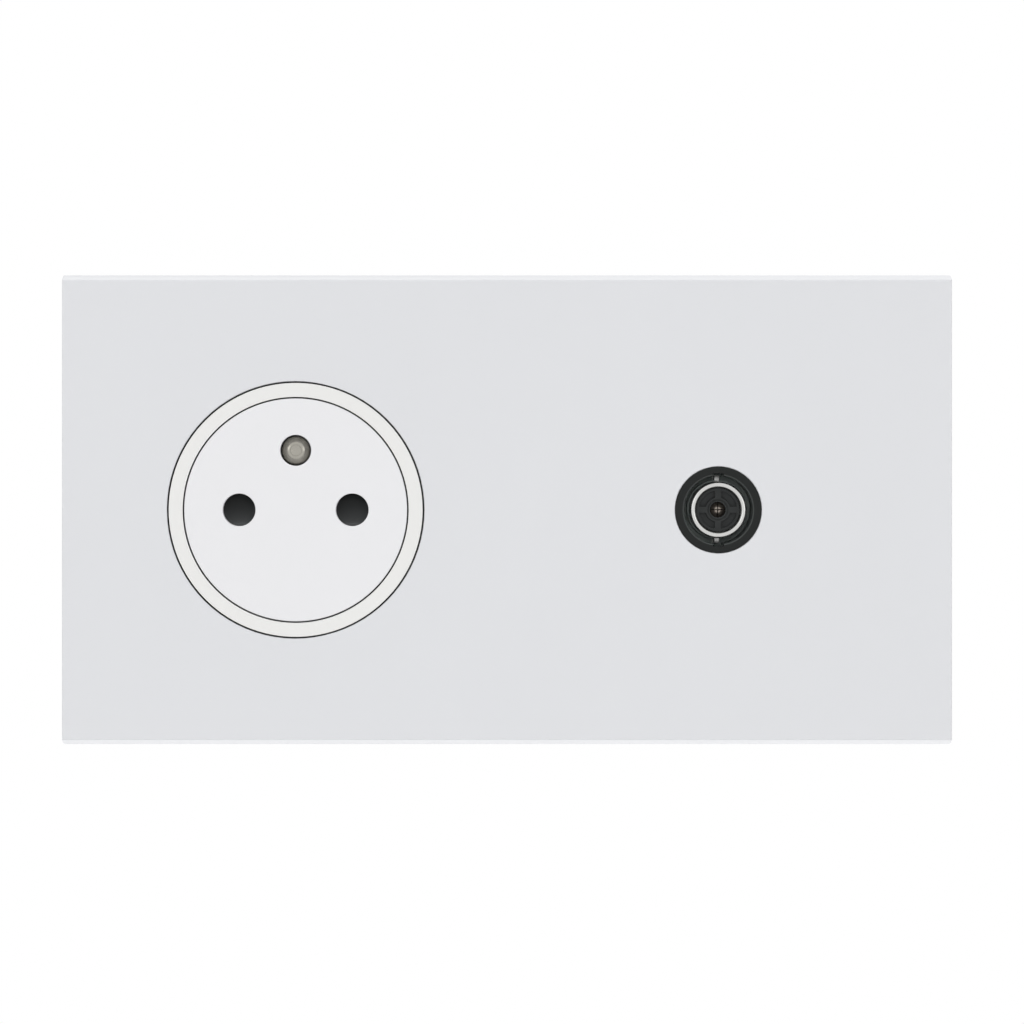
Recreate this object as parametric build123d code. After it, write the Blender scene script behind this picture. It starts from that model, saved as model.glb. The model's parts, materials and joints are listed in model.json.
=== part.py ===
from build123d import *

import os

# Combined TV and power socket: one two-gang wall plate over two outlets.
# The power outlet's face sinks under a plug, and the other outlet is a coaxial one.
# Millimetres. The wall is the plane Y = 0, the front faces -Y, X runs to the right and Z runs up.

# Cover plate
gang_pitch = 71.0
plate_side = 39.25
plate_height = 79.0
plate_wall = 2.0
plate_rim = 1.8
edge_flare = 0.85
flare_depth = 2.8
cover_gap = 1.7
rib_thickness = 1.2
rib_offset = 7.0
rib_clearance = 0.4
opening_rim = 1.3
plate_edge_round = 0.25
clip_thickness = 1.5
clip_width = 6.0
clip_hook = 0.8
clip_height = 20.0
clip_clearance = 0.3
wall_clearance = 0.4

# Support frame
frame_thickness = 1.2
frame_standoff = 2.0
frame_inset = 4.0
frame_corner = 3.0
box_screw_spacing = 60.0
slot_length = 10.0
slot_width = 4.2

# Both outlet bodies
body_width = 45.0
body_corner = 4.0
window_clearance = 0.6
flange_overlap = 3.0
flange_thickness = 1.6
barb_reach = 0.9
barb_width = 8.0
barb_depth = 2.0
seat_clearance = 0.1
slip_clearance = 0.05

# Power outlet face
ring_diameter = 42.66
ring_gap = 0.25
disc_diameter = 37.5
disc_gap = 0.23
disc_thickness = 2.2
disc_depth = 9.7
disc_travel = 15.0
floor_clearance = 0.3
lip_depth = 3.0
guide_step = 0.97
guide_clearance = 0.25
skirt_wall = 2.1
well_wall = 1.4
well_foot = 2.0
well_rib = 1.4
pin_spacing = 19.0
pin_hole = 5.5
pin_length = 19.0
earth_offset = 10.0
earth_pin_diameter = 4.8
earth_hole = 5.2
earth_tip_recess = 0.8
earth_tip_round = 1.25
earth_guide_wall = 1.2
earth_guide_depth = 2.0

# Return springs
spring_offset_x = 7.0
spring_offset_z = 12.5
spring_diameter = 4.4
spring_wire = 0.5
spring_turns = 4
spigot_clearance = 0.3
spigot_length = 3.0
floor_spigot = 1.5

# Shutter and its cage
shutter_overlap = 0.35
shutter_release = 0.15
shutter_clearance = 0.15
shutter_tip = 0.6
shutter_nose = 0.8
shutter_bar = 4.0
shutter_spring_diameter = 2.4
shutter_spring_wire = 0.35
shutter_spring_turns = 4
shutter_spring_length = 12.0
cage_plate = 1.2
cage_wall = 1.2
cage_clip_width = 5.0
cage_clip_thickness = 1.2
cage_clip_barb = 0.7
cage_clip_catch = 1.6
cage_clip_tip = 0.2

# Power outlet base
floor_thickness = 1.6
base_wall = 1.5
chamber_wall = 1.2
chamber_clearance = 0.3
rear_cover_thickness = 1.8
body_screw_inset = 3.8
body_screw_diameter = 2.9
body_screw_head = 5.4
body_screw_head_height = 1.6
body_screw_bite = 8.0
body_boss_diameter = 6.0
pin_passage = 5.8

# Contacts and terminals
contact_thickness = 0.8
contact_width = 6.0
contact_mouth = 6.0
contact_grip = 4.5
contact_belly = 5.8
contact_bend = 0.9
contact_tip_room = 0.8
tail_width = 5.0
tail_insertion = 2.4
terminal_width = 8.0
terminal_height = 7.0
terminal_depth = 8.5
terminal_offset = 15.0
terminal_slot_lip = 0.6
wire_window_width = 4.2
wire_window_height = 3.2
wire_window_depth = 6.5
wire_window_drop = 1.2
wire_funnel = 0.6
terminal_screw_diameter = 3.0
terminal_screw_head = 4.4
terminal_screw_head_height = 1.6
terminal_screw_backoff = 0.8
terminal_screw_setback = 4.5
screwdriver_clearance = 0.5
earth_shank_diameter = 3.8
earth_rivet_diameter = 5.2
earth_rivet_height = 0.8
earth_terminal_gap = 0.4

# Coaxial outlet
nose_diameter = 14.5
nose_gap = 0.05
channel_diameter = 11.6
channel_depth = 11.0
channel_floor = 0.6
channel_edge = 0.2
notch_width = 1.85
notch_depth = 0.35
sleeve_diameter = 9.5
sleeve_root = 10.0
sleeve_bore = 7.5
sleeve_edge = 0.3
sleeve_gap = 0.1
sleeve_flange = 11.8
sleeve_flange_height = 0.8
sleeve_stub = 8.4
sleeve_stub_length = 1.7
lug_width = 0.92
lug_reach = 0.95
lug_height = 5.0
insulator_recess = 1.5
insulator_boss = 4.2
insulator_groove = 6.4
insulator_groove_depth = 0.8
insulator_spoke = 1.1
core_hole = 2.7
core_lead_in = 0.5
contact_tube = 2.8
contact_bore = 2.2
contact_tube_length = 8.0
contact_tube_recess = 1.2
contact_tube_slot = 0.2
contact_tip = 1.1
contact_tip_thickness = 0.45
contact_tip_hollow = 0.6
contact_pinch = 2.2
contact_spring_room = 0.2
contact_tail = 1.5

# Coaxial outlet screen box
skirt_thickness = 1.6
screen_width = 28.0
screen_height = 32.0
screen_depth = 16.5
screen_wall = 1.6
screen_corner = 2.5
screen_ear = 3.0
screen_ear_width = 7.0
screen_ear_thickness = 2.0
screen_clip_thickness = 1.5
screen_clip_hook = 0.9
screen_clip_hook_depth = 1.6
cradle_diameter = 6.8
cradle_width = 18.0
cradle_height = 4.9
entry_clearance = 0.2
clamp_thickness = 0.8
clamp_height = 4.0
clamp_tab = 2.5
clamp_screw_gap = 0.3
clamp_screw_diameter = 2.2
clamp_screw_head = 4.0
clamp_screw_head_height = 1.5
clamp_screw_length = 6.0
core_block = 6.0
core_block_depth = 7.0
core_block_seat = 3.0
core_seat_wall = 1.5
core_seat_floor = 2.0
core_wire_hole = 1.6
core_wire_setback = 1.9
core_screw_diameter = 2.0
core_screw_head = 3.6
core_screw_head_height = 1.5
lid_thickness = 0.6
lid_skirt = 5.0

# Screw drive slots
drive_slot_width = 0.7
drive_slot_share = 0.5

# Places along the depth, from the flush front to the back
plate_depth = frame_standoff + frame_thickness + flange_thickness + cover_gap + plate_wall
plate_width = gang_pitch + 2 * plate_side
y_face = -plate_depth
y_plate_back = y_face + plate_wall
y_web_back = -frame_standoff
y_web_front = y_web_back - frame_thickness
y_flange_front = y_web_front - flange_thickness
y_disc_back = y_face + disc_thickness
y_shoulder = y_face + lip_depth
y_skirt_back = y_face + disc_depth
y_cage_front = y_skirt_back - cage_plate
y_cage_catch = y_cage_front - cage_clip_catch
y_floor = y_skirt_back + disc_travel + floor_clearance
y_floor_back = y_floor + floor_thickness
y_tail_front = y_face + disc_travel + pin_length + contact_tip_room
y_tail = y_tail_front + contact_thickness / 2
y_terminal_back = y_tail_front + contact_thickness + slip_clearance + terminal_slot_lip
y_terminal_front = y_terminal_back - terminal_depth
y_terminal_screw = y_terminal_back - terminal_screw_setback
y_chamber_back = y_terminal_back + seat_clearance
y_cover_back = y_chamber_back + rear_cover_thickness
y_channel_floor = y_face + channel_depth
y_screen_inside = y_channel_floor + screen_wall
y_screen_back = y_channel_floor + screen_depth
y_stub_back = y_channel_floor + sleeve_flange_height + sleeve_stub_length
y_seat_floor = y_stub_back + slip_clearance + core_seat_floor
y_block_back = y_seat_floor + core_block_depth
y_cable = y_block_back - core_wire_setback

# Sizes that follow from fits
window_width = body_width + 2 * window_clearance
flange_width = body_width + 2 * flange_overlap
frame_width = plate_width - 2 * frame_inset
frame_height = plate_height - 2 * frame_inset
web_centre = (gang_pitch + window_width + frame_width) / 4
ring_bore = disc_diameter + 2 * disc_gap
guide_bore = ring_bore + 2 * guide_step
guide_diameter = guide_bore - 2 * guide_clearance
skirt_bore = guide_diameter - 2 * skirt_wall
shutter_block = pin_hole + 2 * shutter_overlap
shutter_travel = (pin_hole + shutter_block) / 2 + shutter_release
cage_width = pin_spacing + shutter_block + 2 * (shutter_clearance + cage_wall)
cage_top = shutter_block / 2 + shutter_clearance + cage_wall
cage_bottom = shutter_block / 2 + shutter_travel + shutter_clearance
cage_stem_bore = shutter_spring_diameter + shutter_spring_wire + 2 * shutter_clearance
cage_stem_end = shutter_block / 2 + shutter_spring_length
spigot_width = (spring_diameter - spring_wire - 2 * spigot_clearance) / 2**0.5
screw_corner = body_width / 2 - body_screw_inset
chamber_width = terminal_width + 2 * chamber_clearance
chamber_bottom = terminal_offset + terminal_height / 2 + chamber_clearance
chamber_top = contact_width / 2 + chamber_clearance
earth_terminal_z = earth_offset + (earth_rivet_diameter + terminal_height) / 2 + earth_terminal_gap
strap_foot = earth_offset - earth_rivet_diameter / 2 - contact_bend
clamp_screw_offset = cradle_diameter / 2 + clamp_thickness + clamp_screw_head / 2 + clamp_screw_gap
well_diameter = guide_bore + 2 * well_wall
cradle_top = cradle_height - screen_height / 2 + screen_wall
pin_places = [(-pin_spacing / 2, 0), (pin_spacing / 2, 0)]
terminal_places = [(x, -terminal_offset, -1) for x, z in pin_places] + [(0, earth_terminal_z, 1)]
spring_places = [(-spring_offset_x, spring_offset_z), (spring_offset_x, -spring_offset_z)]
corner_places = [(-screw_corner, -screw_corner), (screw_corner, screw_corner)]


# Shapes drawn on the face, and turned about the outlet's axis

def slab(outline, y_front, y_back):
    """An outline drawn on the face, from one depth to another."""
    return extrude(Plane.XZ.offset(-y_back) * outline, y_back - y_front, dir=(0, -1, 0))


def rods(diameter, places, y_front, y_back):
    """Round bars along the depth at each place on the face."""
    return slab(Sketch() + [Pos(x, z) * Circle(diameter / 2) for x, z in places], y_front, y_back)


def posts(width, places, y_front, y_back):
    """Square bars along the depth at each place on the face."""
    return slab(Sketch() + [Pos(x, z) * Rectangle(width, width) for x, z in places], y_front, y_back)


def rod(diameter, y_front, y_back, x=0, z=0):
    """One round bar along the depth."""
    return rods(diameter, [(x, z)], y_front, y_back)


def block(x_range, y_range, z_range):
    """A box between three pairs of limits."""
    low = Vector(x_range[0], y_range[0], z_range[0])
    size = Vector(x_range[1], y_range[1], z_range[1]) - low
    corner = (Align.MIN, Align.MIN, Align.MIN)
    return Pos(low) * Box(size.X, size.Y, size.Z, align=corner)


def turned(*outline):
    """A profile of radius and depth points, turned about the outlet's axis."""
    return revolve(make_face(Polyline(*outline, close=True)), Axis.Y)


def square(width, corner):
    """A square with rounded corners."""
    return RectangleRounded(width, width, corner)


def strip(points, thickness, width, plane, bend):
    """Bent sheet along a path, centred on its plane."""
    return extrude(plane * trace(FilletPolyline(*points, radius=bend), thickness), width / 2, both=True)


def coil(start, direction, length, diameter, wire, turns):
    """A compression spring of square wire."""
    rise = length - wire
    path = Helix(rise / turns, rise, diameter / 2, direction=direction)
    section = Plane(origin=path @ 0, z_dir=path % 0) * Rectangle(wire, wire)
    return Pos(Vector(start) + Vector(direction) * wire / 2) * sweep(section, path, is_frenet=True)


def screw(place, head_side, diameter, length, head, head_height):
    """A cheese-head screw whose head's underside is at the place."""
    shank = Pos(0, 0, -length / 2) * Cylinder(diameter / 2, length)
    cap = Pos(0, 0, head_height / 2) * Cylinder(head / 2, head_height)
    slot_depth = head_height * drive_slot_share
    slot = Pos(0, 0, head_height - slot_depth / 2) * Box(head, drive_slot_width, slot_depth)
    return Plane(place, z_dir=head_side) * (shank + cap - slot)


# Cover plate and support frame

def clip_places():
    """Where the plate's six legs pass through the frame."""
    return [(x, z) for x in (-web_centre, 0, web_centre) for z in (-clip_height, clip_height)]


def cover_plate():
    """A tray with flared long edges, two round openings, ribs and clip legs."""
    half = plate_height / 2
    section = Polyline(
        (y_face, -half + edge_flare),
        (y_face, half - edge_flare),
        (y_face + flare_depth, half),
        (0, half),
        (0, -half),
        (y_face + flare_depth, -half),
        close=True,
    )
    plate = extrude(Plane.YZ * make_face(section), plate_width / 2, both=True)
    plate = fillet(plate.faces().sort_by(Axis.Y)[0].edges(), plate_edge_round)
    plate -= slab(Rectangle(plate_width - 2 * plate_rim, plate_height - 2 * plate_rim), y_plate_back, 0)
    rib_end = y_web_front - rib_clearance
    rib_height = plate_height - 2 * plate_rim
    end_rib = frame_width / 2 - rib_thickness
    for x in (-end_rib, -rib_offset, rib_offset, end_rib):
        plate += slab(Pos(x, 0) * Rectangle(rib_thickness, rib_height), y_plate_back, rib_end)
    for x, z in clip_places():
        plate += clip_leg(x, z)
    rim_back = y_flange_front - rib_clearance
    ring_opening = (ring_diameter + 2 * ring_gap, -gang_pitch / 2)
    nose_opening = (nose_diameter + 2 * nose_gap, gang_pitch / 2)
    for opening, x in (ring_opening, nose_opening):
        plate += rod(opening + 2 * opening_rim, y_plate_back, rim_back, x=x)
        plate -= rod(opening, y_face, rim_back, x=x)
    return plate


def clip_leg(x, z):
    """A leg with a hook that holds behind the frame's web."""
    side = -1 if x < 0 else 1
    flank = clip_thickness / 2
    y_hook = y_web_back + seat_clearance
    outline = Polyline(
        (x - side * flank, y_plate_back),
        (x + side * flank, y_plate_back),
        (x + side * flank, y_hook),
        (x + side * (flank + clip_hook), y_hook),
        (x + side * flank, -wall_clearance),
        (x - side * flank, -wall_clearance),
        close=True,
    )
    return extrude(Plane((0, 0, z)) * make_face(outline), clip_width / 2, both=True)


def support_frame():
    """A pressed steel web on four folded lips, with outlet windows, screw slots and clip windows."""
    outline = RectangleRounded(frame_width, frame_height, frame_corner)
    for x in (-gang_pitch / 2, gang_pitch / 2):
        outline -= Pos(x, 0) * square(window_width, body_corner + window_clearance)
        for z in (-box_screw_spacing / 2, box_screw_spacing / 2):
            outline -= Pos(x, z) * SlotOverall(slot_length, slot_width)
    for x, z in clip_places():
        wide = clip_thickness + 2 * (clip_hook + clip_clearance)
        outline -= Pos(x, z) * Rectangle(wide, clip_width + 2 * clip_clearance)
    web = slab(outline, y_web_front, y_web_back)
    lip_x = (frame_width - frame_thickness) / 2
    lip_z = (frame_height - frame_thickness) / 2
    long_lip = Rectangle(frame_width - 2 * frame_corner, frame_thickness)
    short_lip = Rectangle(frame_thickness, frame_height - 2 * frame_corner)
    for side in (-1, 1):
        web += slab(Pos(0, side * lip_z) * long_lip, y_web_front, 0)
        web += slab(Pos(side * lip_x, 0) * short_lip, y_web_front, 0)
    return web


def barbs():
    """Snap barbs on both sides of an outlet body, behind the frame's web."""
    y_catch = y_web_back + seat_clearance
    root = body_width / 2 - skirt_thickness / 2
    tip = window_width / 2 + barb_reach
    outline = Polyline((root, y_catch), (tip, y_catch), (root, y_catch + barb_depth), close=True)
    right = extrude(Plane.XY * make_face(outline), barb_width / 2, both=True)
    return right + mirror(right, Plane.YZ)


# Power outlet: fixed well

def socket_collar():
    """Front ring, mounting flange, round well, corner posts and foot in one moulding."""
    collar = rod(ring_diameter, y_face, y_flange_front)
    collar += slab(square(flange_width, body_corner), y_flange_front, y_web_front)
    collar += rod(well_diameter, y_web_front, y_floor)
    collar += slab(square(body_width, body_corner), y_floor - well_foot, y_floor)
    collar += rods(body_boss_diameter, corner_places, y_web_front, y_floor)
    diagonal = Rot(0, 0, 45) * Rectangle(2 * screw_corner * 2**0.5, well_rib)
    collar += slab(diagonal, y_web_front, y_floor)
    y_barb_back = y_web_back + seat_clearance + barb_depth
    collar += slab(Rectangle(body_width, barb_width), y_web_front, y_barb_back)
    collar += barbs()
    collar -= rod(ring_bore, y_face, y_shoulder)
    collar -= rod(guide_bore, y_shoulder, y_floor)
    screw_hole = body_screw_diameter + 2 * slip_clearance
    return collar - rods(screw_hole, corner_places, y_floor - body_screw_bite, y_floor)


def chambers():
    """Outlines of the three contact chambers."""
    tall = chamber_top + chamber_bottom
    live = Rectangle(chamber_width, tall)
    centre = (chamber_top - chamber_bottom) / 2
    earth_low = strap_foot - contact_thickness / 2 - chamber_clearance
    earth_high = earth_terminal_z + terminal_height / 2 + chamber_clearance
    earth = Rectangle(chamber_width, earth_high - earth_low)
    places = [Pos(x, centre) * live for x, z in pin_places]
    return places + [Pos(0, (earth_low + earth_high) / 2) * earth]


def socket_base():
    """Floor of the well and the walled chambers behind it."""
    outside = square(body_width, body_corner)
    inside = Rectangle(body_width - 2 * base_wall, body_width - 2 * base_wall)
    base = slab(outside, y_floor, y_chamber_back) - slab(inside, y_floor_back, y_chamber_back)
    cells = Sketch() + [offset(cell, chamber_wall, kind=Kind.INTERSECTION) for cell in chambers()]
    bosses = Sketch() + [Pos(x, z) * Circle(body_boss_diameter / 2) for x, z in corner_places]
    base += slab((cells + bosses) & outside, y_floor_back, y_chamber_back)
    base -= slab(Sketch() + chambers(), y_floor_back, y_chamber_back)
    base += posts(spigot_width, spring_places, y_floor - floor_spigot, y_floor)
    base -= rods(pin_passage, pin_places, y_floor, y_floor_back)
    base -= rod(earth_shank_diameter + 2 * slip_clearance, y_floor, y_floor_back, z=earth_offset)
    base -= rods(body_screw_diameter + 2 * seat_clearance, corner_places, y_floor, y_chamber_back)
    access = terminal_screw_head / 2 + screwdriver_clearance
    for x, z, side in terminal_places:
        reach = sorted((z + side * terminal_height / 2, side * body_width / 2))
        base -= block((x - access, x + access), (y_terminal_screw - access, y_chamber_back), reach)
    return base


def rear_cover():
    """Back plate with wire entries and pads that hold the tails down."""
    cover = slab(square(body_width, body_corner), y_chamber_back, y_cover_back)
    pad = Rectangle(tail_width, contact_width)
    pad_front = y_tail_front + contact_thickness + slip_clearance
    for x, z in pin_places:
        cover += slab(Pos(x, 0) * pad, pad_front, y_chamber_back)
    earth_pad = Pos(0, earth_offset) * Rectangle(tail_width, earth_rivet_diameter / 2)
    cover += slab(earth_pad, pad_front, y_chamber_back)
    cover -= rods(body_screw_diameter + 2 * seat_clearance, corner_places, y_chamber_back, y_cover_back)
    entry = Rectangle(wire_window_width + 2 * wire_funnel, wire_window_height + 2 * wire_funnel)
    cover -= slab(Sketch() + [Pos(x, z) * entry for x, z in wire_places()], y_chamber_back, y_cover_back)
    return cover


def body_screws():
    """Two long screws from the rear cover into the collar."""
    length = y_cover_back - y_floor + body_screw_bite - seat_clearance
    sizes = (body_screw_diameter, length, body_screw_head, body_screw_head_height)
    return Part() + [screw((x, y_cover_back, z), (0, 1, 0), *sizes) for x, z in corner_places]


# Power outlet: sinking face and shutter

def face_disc():
    """Round face with pin holes, a guide skirt, spring spigots and snap legs for the cage."""
    disc = rod(disc_diameter, y_face, y_shoulder + seat_clearance)
    disc += rod(guide_diameter, y_shoulder + seat_clearance, y_skirt_back)
    disc -= rod(skirt_bore, y_disc_back, y_skirt_back)
    disc += posts(spigot_width, spring_places, y_disc_back, y_disc_back + spigot_length)
    disc += cage_clip() + mirror(cage_clip(), Plane.YZ)
    guide = earth_hole + 2 * earth_guide_wall
    disc += rod(guide, y_disc_back, y_disc_back + earth_guide_depth, z=earth_offset)
    disc -= rod(earth_hole, y_face, y_disc_back + earth_guide_depth, z=earth_offset)
    disc -= rods(pin_hole, pin_places, y_face, y_disc_back)
    return disc


def cage_clip():
    """Snap leg on the right of the cage, with its barb in the cage's side window."""
    inner = cage_width / 2 + shutter_clearance
    outline = Polyline(
        (inner, y_disc_back),
        (inner + cage_clip_thickness, y_disc_back),
        (inner + cage_clip_thickness, y_cage_front - cage_clip_tip),
        (inner, y_cage_front - cage_clip_tip),
        (inner - cage_clip_barb, y_cage_catch),
        (inner, y_cage_catch),
        close=True,
    )
    return extrude(Plane.XY * make_face(outline), cage_clip_width / 2, both=True)


def shutter_cage():
    """Keeper plate with side walls, a top stop, a spring stem, pin windows and clip windows."""
    inner = cage_width / 2 - cage_wall
    stem = cage_stem_bore / 2 + cage_wall
    stem_end = cage_stem_end + slip_clearance
    depth = (y_disc_back + seat_clearance, y_skirt_back)
    plate = (y_cage_front, y_skirt_back)
    cage = block((-cage_width / 2, cage_width / 2), plate, (-cage_bottom, cage_top))
    cage += block((-stem, stem), plate, (-stem_end - cage_wall, -cage_bottom))
    for low, high in ((-cage_width / 2, -inner), (inner, cage_width / 2)):
        cage += block((low, high), depth, (-cage_bottom, cage_top))
    cage += block((-inner, inner), depth, (cage_top - cage_wall, cage_top))
    cage += block((-stem, stem), depth, (-stem_end - cage_wall, -stem_end))
    for low, high in ((-stem, cage_wall - stem), (stem - cage_wall, stem)):
        cage += block((low, high), depth, (-stem_end, -cage_bottom))
    clip_half = cage_clip_width / 2 + shutter_clearance
    for low, high in ((-cage_width / 2, -inner), (inner, cage_width / 2)):
        cage -= block((low, high), (y_cage_catch - slip_clearance, y_cage_front), (-clip_half, clip_half))
    return cage - posts(pin_passage, pin_places, y_cage_front, y_skirt_back)


def shutter():
    """Slider with a ramped block behind each pin hole and a bar between them."""
    front = y_disc_back + shutter_clearance
    back = y_cage_front - shutter_clearance
    half = shutter_block / 2
    ramp = Polyline(
        (back, -half),
        (back, half),
        (back - shutter_tip, half),
        (front, -half + shutter_nose),
        (front, -half),
        close=True,
    )
    wedge = extrude(Plane.YZ * make_face(ramp), half, both=True)
    blocks = [Pos(x, 0, z) * wedge for x, z in pin_places]
    slider = Part() + blocks
    gap = (pin_spacing - shutter_block) / 2
    slider += block((-gap, gap), (back - shutter_bar, back), (-half, 0))
    return slider


def shutter_spring():
    """Small coil below the shutter's bar."""
    y_middle = (y_disc_back + y_cage_front) / 2
    start = (0, y_middle, -cage_stem_end)
    length = shutter_spring_length - slip_clearance
    sizes = (length, shutter_spring_diameter, shutter_spring_wire, shutter_spring_turns)
    return coil(start, (0, 0, 1), *sizes)


def return_springs():
    """Two coils between the disc and the floor of the well."""
    length = y_floor - y_disc_back - 2 * slip_clearance
    y_start = y_disc_back + slip_clearance
    sizes = (length, spring_diameter, spring_wire, spring_turns)
    return Part() + [coil((x, y_start, z), (0, 1, 0), *sizes) for x, z in spring_places]


# Power outlet: contacts and terminals

def earth_pin():
    """Turned pin with a rounded tip, a seating shoulder and a riveted tail."""
    y_tip = y_face + earth_tip_recess
    y_rivet = y_floor_back + contact_thickness
    pin = rod(earth_pin_diameter, y_tip, y_floor)
    pin = fillet(pin.edges().sort_by(Axis.Y)[0], earth_tip_round)
    pin += rod(earth_shank_diameter, y_floor, y_rivet)
    pin += rod(earth_rivet_diameter, y_rivet, y_rivet + earth_rivet_height)
    return Pos(0, 0, earth_offset) * pin


def earth_strap():
    """Bent brass strap from under the pin's rivet to the earth terminal."""
    y_plate = y_floor_back + contact_thickness / 2
    top = earth_terminal_z - terminal_height / 2 + tail_insertion
    head = earth_offset + earth_rivet_diameter / 2
    path = [(y_plate, head), (y_plate, strap_foot), (y_tail, strap_foot), (y_tail, top)]
    strap = strip(path, contact_thickness, tail_width, Plane.YZ, contact_bend)
    hole = earth_shank_diameter + 2 * slip_clearance
    return strap - rod(hole, y_floor_back, y_floor_back + contact_thickness, z=earth_offset)


def pin_contact():
    """Two spring leaves that grip a plug pin, with a tail down to the terminal."""
    y_mouth = y_floor_back + chamber_clearance
    run = (y_tail - y_mouth) / 3
    leaf = [
        ((contact_mouth + contact_thickness) / 2, y_mouth),
        ((contact_grip + contact_thickness) / 2, y_mouth + run),
        ((contact_belly + contact_thickness) / 2, y_mouth + 2 * run),
        (tail_width / 2, y_tail),
    ]
    path = leaf + [(-x, y) for x, y in reversed(leaf)]
    contact = strip(path, contact_thickness, contact_width, Plane.XY, contact_bend)
    tail_end = terminal_offset - terminal_height / 2 + tail_insertion
    tail = block(
        (-tail_width / 2, tail_width / 2),
        (y_tail_front, y_tail_front + contact_thickness),
        (-tail_end, 0),
    )
    return contact + tail


def terminal():
    """Brass block with a slot for the tail, a wire window from the back and a screw hole from below."""
    half = terminal_height / 2
    side = terminal_width / 2
    body = block((-side, side), (y_terminal_front, y_terminal_back), (-half, half))
    slot_half = tail_width / 2 + slip_clearance
    slot_depth = (y_tail_front - slip_clearance, y_tail_front + contact_thickness + slip_clearance)
    slot_bottom = half - tail_insertion - slip_clearance
    body -= block((-slot_half, slot_half), slot_depth, (slot_bottom, half))
    window = Pos(0, -wire_window_drop) * Rectangle(wire_window_width, wire_window_height)
    body -= slab(window, y_terminal_back - wire_window_depth, y_terminal_back)
    depth = half - wire_window_drop
    hole = Cylinder(terminal_screw_diameter / 2 + slip_clearance, depth)
    return body - Pos(0, y_terminal_screw, depth / 2 - half) * hole


def wire_places():
    """Where the wires enter through the rear cover."""
    return [(x, z + side * wire_window_drop) for x, z, side in terminal_places]


def terminal_screws():
    """Three clamp screws, drawn back from their blocks."""
    reach = terminal_height / 2 + terminal_screw_backoff
    length = reach - wire_window_drop - wire_window_height / 2
    sizes = (terminal_screw_diameter, length, terminal_screw_head, terminal_screw_head_height)
    screws = Part()
    for x, z, side in terminal_places:
        screws += screw((x, y_terminal_screw, z + side * reach), (0, 0, side), *sizes)
    return screws


# Coaxial outlet

def tv_front():
    """Black moulding: nose with its plug channel, mounting flange, skirt and two snap legs."""
    front = rod(nose_diameter, y_face, y_channel_floor)
    front += slab(square(flange_width, body_corner), y_flange_front, y_web_front)
    hoop = square(body_width, body_corner)
    hoop -= Rectangle(body_width - 2 * skirt_thickness, body_width - 2 * skirt_thickness)
    front += slab(hoop, y_web_front, y_channel_floor - seat_clearance)
    front += barbs()
    front += screen_clip() + mirror(screen_clip(), Plane.YZ)
    y_floor_front = y_channel_floor - channel_floor
    channel = channel_diameter / 2
    front -= rod(channel_diameter, y_face, y_floor_front)
    front -= turned((0, y_face), (channel + channel_edge, y_face), (0, y_face + channel + channel_edge))
    front -= rod(sleeve_root + 2 * sleeve_gap, y_face, y_channel_floor)
    notch = Rectangle(notch_width, channel_diameter + 2 * notch_depth)
    front -= slab(notch, y_face, y_floor_front)
    lug_slot = Rectangle(lug_width + 2 * sleeve_gap, sleeve_diameter + 2 * (lug_reach + sleeve_gap))
    return front - slab(lug_slot, y_floor_front, y_channel_floor)


def screen_clip():
    """Snap leg on the right of the screen box, hooked behind the box's ear."""
    inner = screen_width / 2 + screen_ear + seat_clearance
    y_hook = y_channel_floor + screen_ear_thickness + slip_clearance
    outline = Polyline(
        (inner, y_flange_front),
        (inner + screen_clip_thickness, y_flange_front),
        (inner + screen_clip_thickness, y_hook + screen_clip_hook_depth),
        (inner, y_hook + screen_clip_hook_depth),
        (inner - screen_clip_hook, y_hook),
        (inner, y_hook),
        close=True,
    )
    return extrude(Plane.XY * make_face(outline), screen_ear_width / 2, both=True)


def tv_sleeve():
    """Turned sleeve with a stepped root, a seating flange, a rear stub and a lug in each notch."""
    bore = sleeve_bore / 2
    y_root = y_channel_floor - lug_height
    y_flange_back = y_channel_floor + sleeve_flange_height
    sleeve = turned(
        (bore, y_face + sleeve_edge),
        (bore + sleeve_edge, y_face),
        (sleeve_diameter / 2 - sleeve_edge, y_face),
        (sleeve_diameter / 2, y_face + sleeve_edge),
        (sleeve_diameter / 2, y_root),
        (sleeve_root / 2, y_root),
        (sleeve_root / 2, y_channel_floor),
        (sleeve_flange / 2, y_channel_floor),
        (sleeve_flange / 2, y_flange_back),
        (sleeve_stub / 2, y_flange_back),
        (sleeve_stub / 2, y_stub_back),
        (bore, y_stub_back),
    )
    lug_inner = bore + slip_clearance
    lug_outer = sleeve_diameter / 2 + lug_reach
    for span in ((lug_inner, lug_outer), (-lug_outer, -lug_inner)):
        sleeve += block((-lug_width / 2, lug_width / 2), (y_root, y_channel_floor), span)
    return sleeve


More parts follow.
